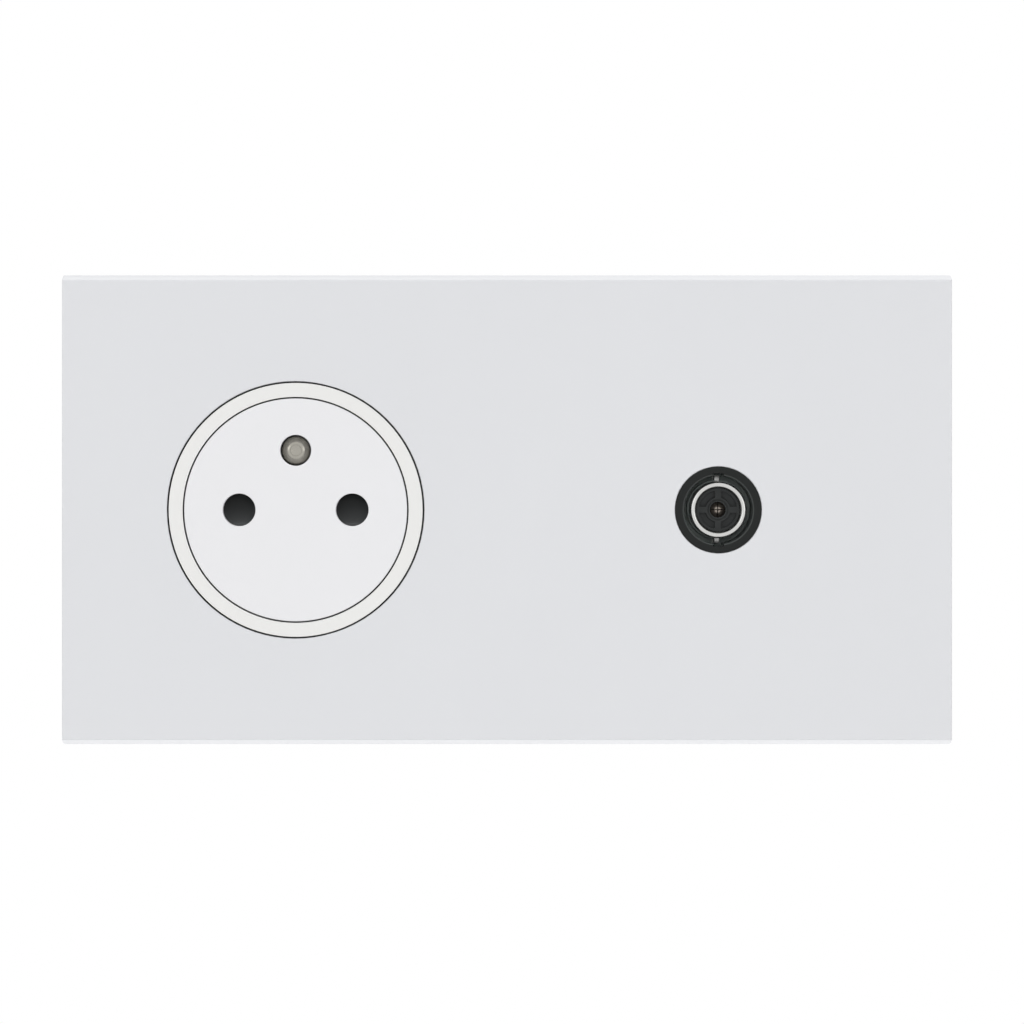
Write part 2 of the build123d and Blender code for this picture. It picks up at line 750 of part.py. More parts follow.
def tv_insulator():
    """Dielectric with four front pockets, a lipped core hole and a square seat for the core terminal."""
    y_front = y_face + insulator_recess
    y_shelf = y_stub_back + slip_clearance
    y_seat = y_seat_floor + core_block_seat
    y_lip = y_front + contact_tube_recess - slip_clearance
    y_stop = y_front + contact_tube_recess + contact_tube_length + slip_clearance
    outside = core_block + 2 * (slip_clearance + core_seat_wall)
    pocket = core_block + 2 * slip_clearance
    body = rod(sleeve_bore - 2 * slip_clearance, y_front, y_shelf)
    body += slab(Rectangle(outside, outside), y_shelf, y_seat)
    body -= slab(Rectangle(pocket, pocket), y_seat_floor, y_seat)
    groove = Circle(insulator_groove / 2) - Circle(insulator_boss / 2)
    groove -= Rectangle(insulator_groove, insulator_spoke)
    groove -= Rectangle(insulator_spoke, insulator_groove)
    body -= slab(groove, y_front, y_front + insulator_groove_depth)
    body -= rod(core_hole, y_front, y_lip)
    body -= rod(contact_tube + 2 * contact_spring_room, y_lip, y_stop)
    body -= rod(contact_tail + 2 * slip_clearance, y_stop, y_seat_floor)
    mouth = core_hole / 2 + core_lead_in
    return body - turned((0, y_front), (mouth, y_front), (0, y_front + mouth))


def tv_centre_contact():
    """Spring tube slotted into four fingers that close at their tips, with a solid tail."""
    y_front = y_face + insulator_recess + contact_tube_recess
    y_hollow = y_front + contact_tip_thickness
    y_straight = y_front + contact_pinch
    y_root = y_front + contact_tube_length
    y_end = y_seat_floor + core_block_seat
    contact = turned(
        (0, y_front),
        (contact_tip / 2, y_front),
        (contact_tube / 2, y_straight),
        (contact_tube / 2, y_root),
        (0, y_root),
    )
    contact -= turned(
        (0, y_hollow),
        (contact_tip_hollow / 2, y_hollow),
        (contact_bore / 2, y_straight),
        (contact_bore / 2, y_root - contact_bore / 2),
        (0, y_root - contact_bore / 2),
    )
    contact -= slab(Rectangle(contact_tube, contact_tube_slot), y_front, y_root - contact_tube)
    contact -= slab(Rectangle(contact_tube_slot, contact_tube), y_front, y_root - contact_tube)
    return contact + rod(contact_tail, y_root, y_end)


def tv_core_terminal():
    """Brass block on the contact's tail, with a wire hole from below and a screw from the back."""
    half = core_block / 2
    body = block((-half, half), (y_seat_floor, y_block_back), (-half, half))
    y_tail_end = y_seat_floor + core_block_seat + slip_clearance
    body -= rod(contact_tail + 2 * slip_clearance, y_seat_floor, y_tail_end)
    body -= rod(core_screw_diameter + 2 * slip_clearance, y_cable, y_block_back)
    return body - Pos(0, y_cable, -half / 2) * Cylinder(core_wire_hole / 2, half)


def tv_core_screw():
    """Clamp screw of the core terminal."""
    length = core_wire_setback - core_wire_hole / 2 + seat_clearance
    place = (0, y_block_back + seat_clearance, 0)
    return screw(place, (0, 1, 0), core_screw_diameter, length, core_screw_head, core_screw_head_height)


def entry_notch():
    """Cable slot through the box's lower wall, open to the back."""
    half = cradle_diameter / 2 + entry_clearance
    low = -screen_height / 2
    notch = block((-half, half), (y_cable, y_screen_back), (low, low + screen_wall))
    return notch + Pos(0, y_cable, low + screen_wall / 2) * Cylinder(half, screen_wall)


def tv_housing():
    """Die-cast screen box with a sleeve seat, two clip ears and a cable cradle, open at the back."""
    wide = screen_width - 2 * screen_wall
    tall = screen_height - 2 * screen_wall
    box = slab(RectangleRounded(screen_width, screen_height, screen_corner), y_channel_floor, y_screen_back)
    ears = Rectangle(screen_width + 2 * screen_ear, screen_ear_width)
    box += slab(ears, y_channel_floor, y_channel_floor + screen_ear_thickness)
    box -= slab(Rectangle(wide, tall), y_screen_inside, y_screen_back)
    cradle_side = cradle_width / 2
    cradle = block((-cradle_side, cradle_side), (y_screen_inside, y_cable), (-tall / 2, cradle_top))
    cable = Pos(0, y_cable, (cradle_top - tall / 2) / 2) * Cylinder(cradle_diameter / 2, cradle_height)
    box += cradle - cable
    screw_hole = clamp_screw_diameter + 2 * slip_clearance
    box -= rod(screw_hole, y_cable - clamp_screw_length, y_cable, *clamp_place())
    slot_half = clamp_height / 2 + slip_clearance
    slot_x = (-cradle_diameter / 2 - clamp_thickness - slip_clearance, 0)
    slot_z = (clamp_place()[1] - slot_half, clamp_place()[1] + slot_half)
    box -= block(slot_x, (y_cable - clamp_tab - slip_clearance, y_cable), slot_z)
    box -= entry_notch()
    box -= rod(sleeve_flange + 2 * slip_clearance, y_channel_floor, y_channel_floor + sleeve_flange_height)
    return box - rod(sleeve_stub + 2 * slip_clearance, y_channel_floor, y_screen_inside)


def clamp_place():
    """Where the braid clamp's screw stands."""
    return clamp_screw_offset, cradle_top - cradle_height / 2


def tv_braid_clamp():
    """Saddle strap bent over the cable, tucked into the cradle on one side and screwed on the other."""
    inner = cradle_diameter / 2
    outer = inner + clamp_thickness
    saddle = Circle(outer) - Circle(inner)
    saddle &= Pos(0, outer) * Rectangle(2 * outer, 2 * outer)
    foot = cradle_width / 2 - inner
    saddle += Pos(inner + foot / 2, clamp_thickness / 2) * Rectangle(foot, clamp_thickness) - Circle(inner)
    saddle += Pos(-inner - clamp_thickness / 2, -clamp_tab / 2) * Rectangle(clamp_thickness, clamp_tab)
    x, z = clamp_place()
    strap = extrude(Plane((0, y_cable + slip_clearance, z)) * saddle, clamp_height / 2, both=True)
    hole = clamp_screw_diameter + 2 * seat_clearance
    return strap - rod(hole, y_cable, y_cable + slip_clearance + clamp_thickness, x, z)


def tv_clamp_screw():
    """Screw that holds the braid clamp."""
    x, z = clamp_place()
    place = (x, y_cable + slip_clearance + clamp_thickness, z)
    sizes = (clamp_screw_diameter, clamp_screw_length, clamp_screw_head, clamp_screw_head_height)
    return screw(place, (0, 1, 0), *sizes)


def tv_shield_cover():
    """Sheet lid with a skirt over the box's walls and a gap for the cable."""
    wide = screen_width + 2 * slip_clearance
    tall = screen_height + 2 * slip_clearance
    y_back = y_screen_back + lid_thickness
    corner = screen_corner + slip_clearance
    outside = RectangleRounded(wide + 2 * lid_thickness, tall + 2 * lid_thickness, corner + lid_thickness)
    lid = slab(outside, y_screen_back - lid_skirt, y_back)
    lid -= slab(RectangleRounded(wide, tall, corner), y_screen_back - lid_skirt, y_screen_back)
    gap = cradle_diameter + 2 * entry_clearance
    low = (-tall / 2 - lid_thickness, -tall / 2)
    return lid - block((-gap / 2, gap / 2), (y_screen_back - lid_skirt, y_screen_back), low)


# Assembly: each outlet is made on its own axis and moved to its gang

socket_gang = Pos(-gang_pitch / 2, 0, 0)
tv_gang = Pos(gang_pitch / 2, 0, 0)

nodes = {
    "cover_plate": cover_plate(),
    "support_frame": support_frame(),
    "socket_collar": socket_gang * socket_collar(),
    "socket_base": socket_gang * socket_base(),
    "rear_cover": socket_gang * rear_cover(),
    "body_screws": socket_gang * body_screws(),
    "face_disc": socket_gang * face_disc(),
    "shutter_cage": socket_gang * shutter_cage(),
    "shutter": socket_gang * shutter(),
    "shutter_spring": socket_gang * shutter_spring(),
    "return_springs": socket_gang * return_springs(),
    "earth_pin": socket_gang * earth_pin(),
    "earth_strap": socket_gang * earth_strap(),
    "line_contact": socket_gang * Pos(-pin_spacing / 2, 0, 0) * pin_contact(),
    "neutral_contact": socket_gang * Pos(pin_spacing / 2, 0, 0) * pin_contact(),
    "line_terminal": socket_gang * Pos(-pin_spacing / 2, 0, -terminal_offset) * terminal(),
    "neutral_terminal": socket_gang * Pos(pin_spacing / 2, 0, -terminal_offset) * terminal(),
    "earth_terminal": socket_gang * Pos(0, 0, earth_terminal_z) * Rot(0, 180, 0) * terminal(),
    "terminal_screws": socket_gang * terminal_screws(),
    "tv_front": tv_gang * tv_front(),
    "tv_sleeve": tv_gang * tv_sleeve(),
    "tv_insulator": tv_gang * tv_insulator(),
    "tv_centre_contact": tv_gang * tv_centre_contact(),
    "tv_core_terminal": tv_gang * tv_core_terminal(),
    "tv_core_screw": tv_gang * tv_core_screw(),
    "tv_housing": tv_gang * tv_housing(),
    "tv_braid_clamp": tv_gang * tv_braid_clamp(),
    "tv_clamp_screw": tv_gang * tv_clamp_screw(),
    "tv_shield_cover": tv_gang * tv_shield_cover(),
}

os.makedirs("parts", exist_ok=True)
for name, solid in nodes.items():
    solid.label = name
    export_step(solid, f"parts/{name}.step")
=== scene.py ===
import json
import math
from typing import NamedTuple

import bmesh
import bpy
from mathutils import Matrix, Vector

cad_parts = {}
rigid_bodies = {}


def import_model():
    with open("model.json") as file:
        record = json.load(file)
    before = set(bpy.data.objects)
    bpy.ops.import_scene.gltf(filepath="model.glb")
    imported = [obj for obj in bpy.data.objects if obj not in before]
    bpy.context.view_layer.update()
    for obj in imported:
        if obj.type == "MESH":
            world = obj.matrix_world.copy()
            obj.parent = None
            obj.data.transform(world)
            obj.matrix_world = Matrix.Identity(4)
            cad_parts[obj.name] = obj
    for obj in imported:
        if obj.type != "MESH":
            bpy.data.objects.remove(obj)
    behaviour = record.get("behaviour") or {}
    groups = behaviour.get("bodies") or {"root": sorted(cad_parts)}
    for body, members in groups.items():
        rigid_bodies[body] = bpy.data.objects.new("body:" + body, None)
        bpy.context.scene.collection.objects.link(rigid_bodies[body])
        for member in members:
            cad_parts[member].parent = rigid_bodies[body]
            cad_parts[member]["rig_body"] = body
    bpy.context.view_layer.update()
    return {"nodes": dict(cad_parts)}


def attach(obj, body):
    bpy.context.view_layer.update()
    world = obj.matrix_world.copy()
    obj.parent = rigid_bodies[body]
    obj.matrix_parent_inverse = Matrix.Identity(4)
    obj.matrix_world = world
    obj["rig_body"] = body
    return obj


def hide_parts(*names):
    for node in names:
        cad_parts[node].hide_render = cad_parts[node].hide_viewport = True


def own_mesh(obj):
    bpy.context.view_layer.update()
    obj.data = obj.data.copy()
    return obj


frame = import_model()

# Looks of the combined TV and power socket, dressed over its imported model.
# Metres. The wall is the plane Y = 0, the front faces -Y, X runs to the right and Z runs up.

MM = 0.001
scene = bpy.context.scene
scene.view_settings.view_transform = "Standard"

# Places shared by the pieces
socket_x = -35.5 * MM
tv_x = 35.5 * MM
earth_z = 10 * MM
face_y = -8.5 * MM
well_floor_y = 16.5 * MM

# Sizes in millimetres round the plug sleeve, shared by the sleeve, its root and its lugs
sleeve_bore = 3.75
sleeve_outside = 4.75
channel_floor = 2.5

# Edges of the moulded, pressed and turned pieces
merge_distance = 0.002 * MM
flat_angle = math.radians(0.6)
edge_angle = math.radians(32)
rounding_steps = 2
weld_distance = 0.0005 * MM

# Level that a noise texture varies about
noise_middle = 0.5


class Term:
    """A node socket that takes part in Python sums, each of which adds its Math node."""

    def __init__(self, board, socket):
        self.board = board
        self.socket = socket

    def __add__(self, other):
        return self.board.maths("ADD", self, other)

    def __sub__(self, other):
        return self.board.maths("SUBTRACT", self, other)

    def __rsub__(self, other):
        return self.board.maths("SUBTRACT", other, self)

    def __mul__(self, other):
        return self.board.maths("MULTIPLY", self, other)

    def __truediv__(self, other):
        return self.board.maths("DIVIDE", self, other)

    def __pow__(self, other):
        return self.board.maths("POWER", self, other)

    __radd__ = __add__
    __rmul__ = __mul__

    def swing(self, share):
        """Noise as a change about nought."""
        return (self - noise_middle) * share


class Board:
    """A node tree that is wired from Python."""

    def __init__(self, tree):
        self.tree = tree

    def node(self, kind, settings=None, sockets=None, output=0):
        """One node: its settings first, then the values or links of its sockets. Gives one output."""
        node = self.tree.nodes.new(kind)
        for name, value in (settings or {}).items():
            if name == "stops":
                self.set_stops(node.color_ramp, value)
            else:
                setattr(node, name, value)
        for key, value in (sockets or {}).items():
            self.feed(node.inputs[key], value)
        return Term(self, node.outputs[output])

    def set_stops(self, ramp, stops):
        """Places a ramp's stops, each a position and a grey level."""
        while len(ramp.elements) < len(stops):
            ramp.elements.new(0.5)
        for element, (position, level) in zip(ramp.elements, stops):
            element.position = position
            element.color = (level, level, level, 1)

    def feed(self, socket, value):
        """Links a socket, or sets its value. A list links every one of its terms."""
        for term in value if isinstance(value, list) else [value]:
            if isinstance(term, Term):
                self.tree.links.new(term.socket, socket)
            else:
                socket.default_value = term

    def maths(self, operation, *values):
        """A Math node on values."""
        return self.node("ShaderNodeMath", {"operation": operation}, dict(enumerate(values)))

    def vector(self, x=0.0, y=0.0, z=0.0):
        """Three values as a vector."""
        return self.node("ShaderNodeCombineXYZ", sockets={"X": x, "Y": y, "Z": z})


class Ring(NamedTuple):
    """A ring about an axis along the depth, where a finish changes its level as painted light or painted
    shade.

    The axis is in metres, and the radii, the depths behind the face and the ease are in millimetres.
    """

    axis_x: float
    radii: tuple
    depths: tuple
    ease: float
    change: float


class Finish(Board):
    """A material whose shader is fed from this board, with places in millimetres."""

    def __init__(self, name, metallic=0.0, gloss=0.5):
        self.material = bpy.data.materials.new(name)
        self.material.use_nodes = True
        super().__init__(self.material.node_tree)
        self.shader = self.tree.nodes["Principled BSDF"]
        self.shader.inputs["Metallic"].default_value = metallic
        self.shader.inputs["Specular IOR Level"].default_value = gloss

    def places(self, centre=(0, 0, 0), stretch=(1, 1, 1)):
        """Object coordinates in millimetres from a centre, stretched along each axis."""
        local = self.node("ShaderNodeTexCoord", output="Object")
        scale = tuple(share / MM for share in stretch)
        location = tuple(-middle * share / MM for middle, share in zip(centre, stretch))
        sockets = {"Vector": local, "Scale": scale, "Location": location}
        return self.node("ShaderNodeMapping", sockets=sockets)

    def distance(self, centre=(0, 0, 0), across=(1, 0, 1)):
        """Distance in millimetres from an axis, measured across it."""
        away = self.places(centre, across)
        return self.node("ShaderNodeVectorMath", {"operation": "LENGTH"}, {0: away}, output="Value")

    def depth(self, start_y=0):
        """Depth in millimetres behind a plane."""
        behind = self.places(centre=(0, start_y, 0))
        return self.node("ShaderNodeSeparateXYZ", sockets={0: behind}, output="Y")

    def noise(self, size, detail=2.0, stretch=(1, 1, 1)):
        """Noise from 0 to 1 with features of one size in millimetres."""
        sockets = {"Vector": self.places(stretch=stretch), "Scale": 1 / size, "Detail": detail}
        return self.node("ShaderNodeTexNoise", sockets=sockets)

    def tool_marks(self, pitch, centre):
        """Marks round an axis along the depth, on the flanks and on the faces."""
        along = self.distance(centre) + self.depth()
        sockets = {"W": along / pitch, "Scale": 1.0, "Detail": 2.0}
        return self.node("ShaderNodeTexNoise", {"noise_dimensions": "1D"}, sockets)

    def inside(self, ring):
        """One inside a ring, easing to nought at its two depths behind the face."""
        radius = self.distance(centre=(ring.axis_x, 0, 0))
        depth = self.depth(face_y)
        inner, outer = ring.radii
        near, far = ring.depths
        across = self.maths("GREATER_THAN", radius, inner) * self.maths("LESS_THAN", radius, outer)
        fall = self.maths("MINIMUM", depth - near, far - depth) / ring.ease
        return across * self.maths("MINIMUM", self.maths("MAXIMUM", fall, 0.0), 1.0)

    def tint(self, colour, level):
        """A colour made lighter or darker by a level that varies."""
        sockets = {0: colour, "Scale": level}
        return self.node("ShaderNodeVectorMath", {"operation": "SCALE"}, sockets)

    def blend(self, share, first, second):
        """One colour turning into another."""
        sockets = {0: share, 6: (*first, 1), 7: (*second, 1)}
        return self.node("ShaderNodeMix", {"data_type": "RGBA"}, sockets, output=2)

    def steps(self, value, *stops):
        """A value put through stops of position and level."""
        return self.node("ShaderNodeValToRGB", {"stops": stops}, {0: value})

    def relief(self, height, depth):
        """Fine relief of a depth in millimetres."""
        sockets = {"Strength": 1.0, "Distance": depth * MM, "Height": height}
        self.feed(self.shader.inputs["Normal"], self.node("ShaderNodeBump", sockets=sockets))

    def give(self, colour, roughness):
        """Feeds the shader's colour and roughness."""
        self.feed(self.shader.inputs["Base Color"], colour)
        self.feed(self.shader.inputs["Roughness"], roughness)
        return self.material


def moulded(name, colour, roughness, grain_depth, shade=0.03, grain=0.16, gloss=0.5, rings=()):
    """Moulded plastic: faint flow shading under a fine eroded grain, with painted light or painted shade in
    some rings.
    """
    grain_share = 0.4
    finish = Finish(name, gloss=gloss)
    flow = finish.noise(size=26.0, stretch=(1, 1, 0.6))
    skin = finish.noise(size=grain, detail=1.0)
    level = 1 + flow.swing(shade) + skin.swing(shade * grain_share)
    for ring in rings:
        # each ring paints light or shade into the colour
        level = level * (1 + finish.inside(ring) * ring.change)
    finish.relief(skin, grain_depth)
    return finish.give(finish.tint(colour, level), roughness + flow.swing(0.08) + skin.swing(0.06))


def turned_metal(name, colour, roughness, centre, pitch=0.09):
    """Bar turned on a lathe and plated: fine tool rings and a soft haze."""
    mean_level = 0.97
    finish = Finish(name, metallic=1.0)
    tool = finish.tool_marks(pitch, centre)
    haze = finish.noise(size=1.6)
    finish.relief(tool, depth=0.0015)
    level = mean_level + haze.swing(0.14) + tool.swing(0.06)
    return finish.give(finish.tint(colour, level), roughness + tool.swing(0.12) + haze.swing(0.1))


def plated_sheet(name, bright, warm, roughness, along, grain_depth=0.002):
    """Plated steel: rolling lines along one way, with a faint warm cast in patches."""
    finish = Finish(name, metallic=1.0)
    lines = finish.noise(size=0.12, detail=3.0, stretch=along)
    cast = finish.noise(size=7.0)
    bloom = finish.noise(size=0.8)
    colour = finish.blend(finish.steps(cast, (0.35, 0.0), (0.65, 1.0)), bright, warm)
    finish.relief(lines, grain_depth)
    level = 1 + lines.swing(0.1) + bloom.swing(0.08)
    return finish.give(finish.tint(colour, level), roughness + lines.swing(0.16) + bloom.swing(0.12))


def cast_zinc(name, colour, roughness):
    """Die-cast zinc as it leaves the die: a pebbled skin with dull flow marks."""
    finish = Finish(name, metallic=1.0)
    pebble = finish.noise(size=0.35, detail=3.0)
    flow = finish.noise(size=5.0, detail=3.0, stretch=(1, 0.3, 1))
    finish.relief(pebble, depth=0.012)
    level = 1 + flow.swing(0.22) + pebble.swing(0.1)
    return finish.give(finish.tint(colour, level), roughness + pebble.swing(0.15) + flow.swing(0.12))


def drawn_brass(name, colour, tarnish, roughness, metallic=1.0):
    """Brass strip and bar: drawing lines and a little tarnish in patches."""
    finish = Finish(name, metallic=metallic)
    lines = finish.noise(size=0.1, detail=2.0, stretch=(1, 1, 0.06))
    patch = finish.noise(size=2.6, detail=3.0)
    tarnished = finish.steps(patch, (0.5, 0.0), (0.78, 0.6))
    tarnish_roughness = 0.15
    finish.relief(lines, depth=0.002)
    shaded = finish.tint(finish.blend(tarnished, colour, tarnish), 1 + lines.swing(0.12))
    return finish.give(shaded, roughness + lines.swing(0.12) + tarnished * tarnish_roughness)


def drawn_wire(name, colour, roughness):
    """Drawn metal with a dull bloom, for the spring wire and the lugs."""
    darkest = 0.9
    bloom_share = 0.2
    finish = Finish(name, metallic=1.0)
    bloom = finish.noise(size=0.5, detail=3.0)
    finish.relief(bloom, depth=0.002)
    level = darkest + bloom * bloom_share
    return finish.give(finish.tint(colour, level), roughness + bloom.swing(0.15))


# Painted shade on the walls of the narrow gaps round the collar and the face
gap_ease = 0.12
gap_shade = -0.93
plate_gap = Ring(socket_x, radii=(21.5, 21.8), depths=(0.0, 3.0), ease=gap_ease, change=gap_shade)
collar_gap = Ring(socket_x, radii=(21.1, 21.75), depths=(0.0, 3.85), ease=gap_ease, change=gap_shade)
well_mouth = Ring(socket_x, radii=(18.8, 19.15), depths=(0.0, 0.45), ease=gap_ease, change=-0.75)
face_side = Ring(socket_x, radii=(18.6, 20.5), depths=(0.0, 12.0), ease=gap_ease, change=gap_shade)

# Painted highlight on the mouth of the plug channel, and painted light on the deep dark walls of the
# channel, on the dielectric's core hole and on its groove floors, lightened to the tones of the photograph
mouth_highlight = Ring(tv_x, radii=(5.77, 6.0), depths=(-0.2, 0.35), ease=0.1, change=3.4)
channel_wall_light = Ring(tv_x, radii=(4.7, 6.3), depths=(0.6, 16.0), ease=3.0, change=26.0)
core_wall_light = Ring(tv_x, radii=(1.2, 1.5), depths=(1.8, 14.0), ease=1.2, change=14.0)
groove_floor_light = Ring(tv_x, radii=(2.1, 3.2), depths=(1.6, 3.0), ease=0.4, change=0.3)

plate_finish = moulded(
    "plate moulding", (0.760, 0.768, 0.790), roughness=0.42, grain_depth=0.0012, rings=[plate_gap]
)
disc_finish = moulded(
    "face moulding", (0.850, 0.850, 0.866), roughness=0.4, grain_depth=0.0012, rings=[face_side]
)
well_finish = moulded(
    "well moulding", (0.850, 0.848, 0.832), roughness=0.4, grain_depth=0.0012, rings=[collar_gap, well_mouth]
)
nose_finish = moulded(
    "nose moulding", (0.013, 0.0145, 0.014), roughness=0.5, grain_depth=0.003,
    shade=0.2, grain=0.12, gloss=0.2, rings=[mouth_highlight, channel_wall_light],
)
shutter_finish = moulded(
    "shutter moulding", (0.092, 0.096, 0.097), roughness=0.55, grain_depth=0.003,
    shade=0.15, grain=0.12, gloss=0.3,
)
core_finish = moulded(
    "dielectric", (0.026, 0.028, 0.028), roughness=0.45, grain_depth=0.002,
    shade=0.2, grain=0.12, gloss=0.25, rings=[core_wall_light, groove_floor_light],
)
pin_finish = turned_metal("plated pin", (0.41, 0.395, 0.35), roughness=0.24, centre=(socket_x, 0, earth_z))
sleeve_finish = turned_metal("plated sleeve", (0.66, 0.66, 0.645), roughness=0.26, centre=(tv_x, 0, 0))
lug_finish = drawn_wire("plated lugs", (0.5, 0.5, 0.49), roughness=0.3)
frame_finish = plated_sheet(
    "plated frame", bright=(0.60, 0.61, 0.63), warm=(0.64, 0.62, 0.55), roughness=0.36, along=(0.05, 1, 1)
)
lid_finish = plated_sheet(
    "tinned lid", bright=(0.66, 0.67, 0.68), warm=(0.68, 0.67, 0.63), roughness=0.32, along=(1, 1, 0.05),
    grain_depth=0.0006,
)
screw_finish = plated_sheet(
    "plated screws", bright=(0.58, 0.59, 0.60), warm=(0.62, 0.60, 0.52), roughness=0.3, along=(1, 1, 1)
)
wire_finish = drawn_wire("spring wire", (0.42, 0.42, 0.43), roughness=0.32)
box_finish = cast_zinc("die-cast box", (0.52, 0.52, 0.51), roughness=0.46)
brass_finish = drawn_brass("drawn brass", (0.72, 0.54, 0.24), tarnish=(0.42, 0.28, 0.12), roughness=0.26)
contact_finish = drawn_brass(
    "spring contact", (0.40, 0.35, 0.30), tarnish=(0.28, 0.22, 0.16), roughness=0.34, metallic=0.45
)


def new_piece(name, mesh, finish):
    """An object at the origin with one finish."""
    piece = bpy.data.objects.new(name, mesh)
    scene.collection.objects.link(piece)
    mesh.materials.clear()
    mesh.materials.append(finish)
    return piece


def stand_for(piece, body, slot, *replaced):
    """Sets what a piece moves with and hides the nodes it stands for. The slot is not used."""
    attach(piece, body)
    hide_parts(*replaced)


def keep_shading(mesh):
    """Smooth shading that breaks at edges."""
    for face in mesh.polygons:
        face.use_smooth = True
    mesh.set_sharp_from_angle(angle=edge_angle)


def roomy_edges(shape, room):
    """Edges to round: sharp ones whose ends have no edge shorter than the room that a rounding needs."""
    cramped = {vert for edge in shape.edges if edge.calc_length() < room for vert in edge.verts}
    sharp = (edge for edge in shape.edges if edge.calc_face_angle(0.0) > edge_angle)
    return [edge for edge in sharp if cramped.isdisjoint(edge.verts)]


def eased(node, width, finish, slot, split=True):
    """A copy of a node with its facets merged and its edges rounded, which stands for it."""
    mesh = bpy.data.meshes.new(node + "_eased")
    shape = bmesh.new()
    shape.from_mesh(frame["nodes"][node].data)
    bmesh.ops.remove_doubles(shape, verts=shape.verts, dist=merge_distance)
    bmesh.ops.dissolve_limit(shape, angle_limit=flat_angle, verts=shape.verts, edges=shape.edges)
    if split:
        bmesh.ops.connect_verts_concave(shape, faces=shape.faces)
    weights = shape.edges.layers.float.new("bevel_weight_edge")
    for edge in roomy_edges(shape, width * MM):
        edge[weights] = 1.0
    shape.to_mesh(mesh)
    shape.free()
    if "custom_normal" in mesh.attributes:
        mesh.attributes.remove(mesh.attributes["custom_normal"])
    keep_shading(mesh)
    piece = new_piece(node + "_eased", mesh, finish)
    rounding = piece.modifiers.new("rounded edges", "BEVEL")
    rounding.limit_method = "WEIGHT"
    rounding.width = width * MM
    rounding.segments = rounding_steps
    rounding.use_clamp_overlap = True
    joining = piece.modifiers.new("joined points", "WELD")
    joining.merge_threshold = weld_distance
    levelling = piece.modifiers.new("flat faces", "WEIGHTED_NORMAL")
    levelling.keep_sharp = True
    stand_for(piece, frame["nodes"][node]["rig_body"], slot, node)


def rounded(corners, arc_steps=8):
    """Profile points from corners of radius, depth and rounding, in millimetres."""
    points = []
    for index, (radius, depth, rounding) in enumerate(corners):
        corner = Vector((radius, depth, 0))
        if rounding == 0:
            points.append(corner)
            continue
        before = (Vector((*corners[index - 1][:2], 0)) - corner).normalized()
        after = (Vector((*corners[(index + 1) % len(corners)][:2], 0)) - corner).normalized()
        half = before.angle(after) / 2
        centre = corner + (before + after).normalized() * rounding / math.sin(half)
        start = corner + before * rounding / math.tan(half) - centre
        end = corner + after * rounding / math.tan(half) - centre
        for step in range(arc_steps + 1):
            points.append(centre + start.slerp(end, step / arc_steps).normalized() * rounding)
    return points


def turned(shape, points, x, z, around, closed):
    """Turns profile points about an axis along the depth. Points on the axis close to a pole."""
    rings = []
    for radius, depth, _ in points:
        if radius == 0:
            rings.append([shape.verts.new((x, depth * MM, z))] * around)
            continue
        ring = []
        for step in range(around):
            angle = math.tau * step / around
            place = (x + radius * MM * math.cos(angle), depth * MM, z + radius * MM * math.sin(angle))
            ring.append(shape.verts.new(place))
        rings.append(ring)
    pairs = list(zip(rings, rings[1:]))
    if closed:
        pairs.append((rings[-1], rings[0]))
    for first, second in pairs:
        for step in range(around):
            follow = (step + 1) % around
            corners = [first[step], first[follow], second[follow], second[step]]
            shape.faces.new(list(dict.fromkeys(corners)))


def turned_arc(shape, points, x, z, start, half_slot, steps):
    """Turns a closed profile through a quarter between two slots, with both ends closed."""
    sections = []
    for step in range(steps + 1):
        section = []
        for radius, depth, _ in points:
            slot_angle = math.asin(half_slot / radius)
            angle = start + slot_angle + (math.pi / 2 - 2 * slot_angle) * step / steps
            place = (x + radius * MM * math.cos(angle), depth * MM, z + radius * MM * math.sin(angle))
            section.append(shape.verts.new(place))
        sections.append(section)
    for first, second in zip(sections, sections[1:]):
        for index in range(len(points)):
            shape.faces.new((first[index - 1], first[index], second[index], second[index - 1]))
    shape.faces.new(sections[0])
    shape.faces.new(sections[-1])


def add_block(shape, low, high, rounding):
    """A block between two corners in millimetres, with rounded edges."""
    made = bmesh.ops.create_cube(shape, size=1.0)["verts"]
    for vert in made:
        vert.co = [MM * (a if share < 0 else b) for a, b, share in zip(low, high, vert.co)]
    edges = {edge for vert in made for edge in vert.link_edges}
    bmesh.ops.bevel(shape, geom=list(edges), offset=rounding * MM, segments=3, profile=0.5, affect="EDGES")


def turned_piece(name, fill, finish):
    """A piece whose mesh one function fills."""
    mesh = bpy.data.meshes.new(name)
    shape = bmesh.new()
    fill(shape)
    bmesh.ops.recalc_face_normals(shape, faces=shape.faces)
    shape.to_mesh(mesh)
    shape.free()
    keep_shading(mesh)
    return new_piece(name, mesh, finish)


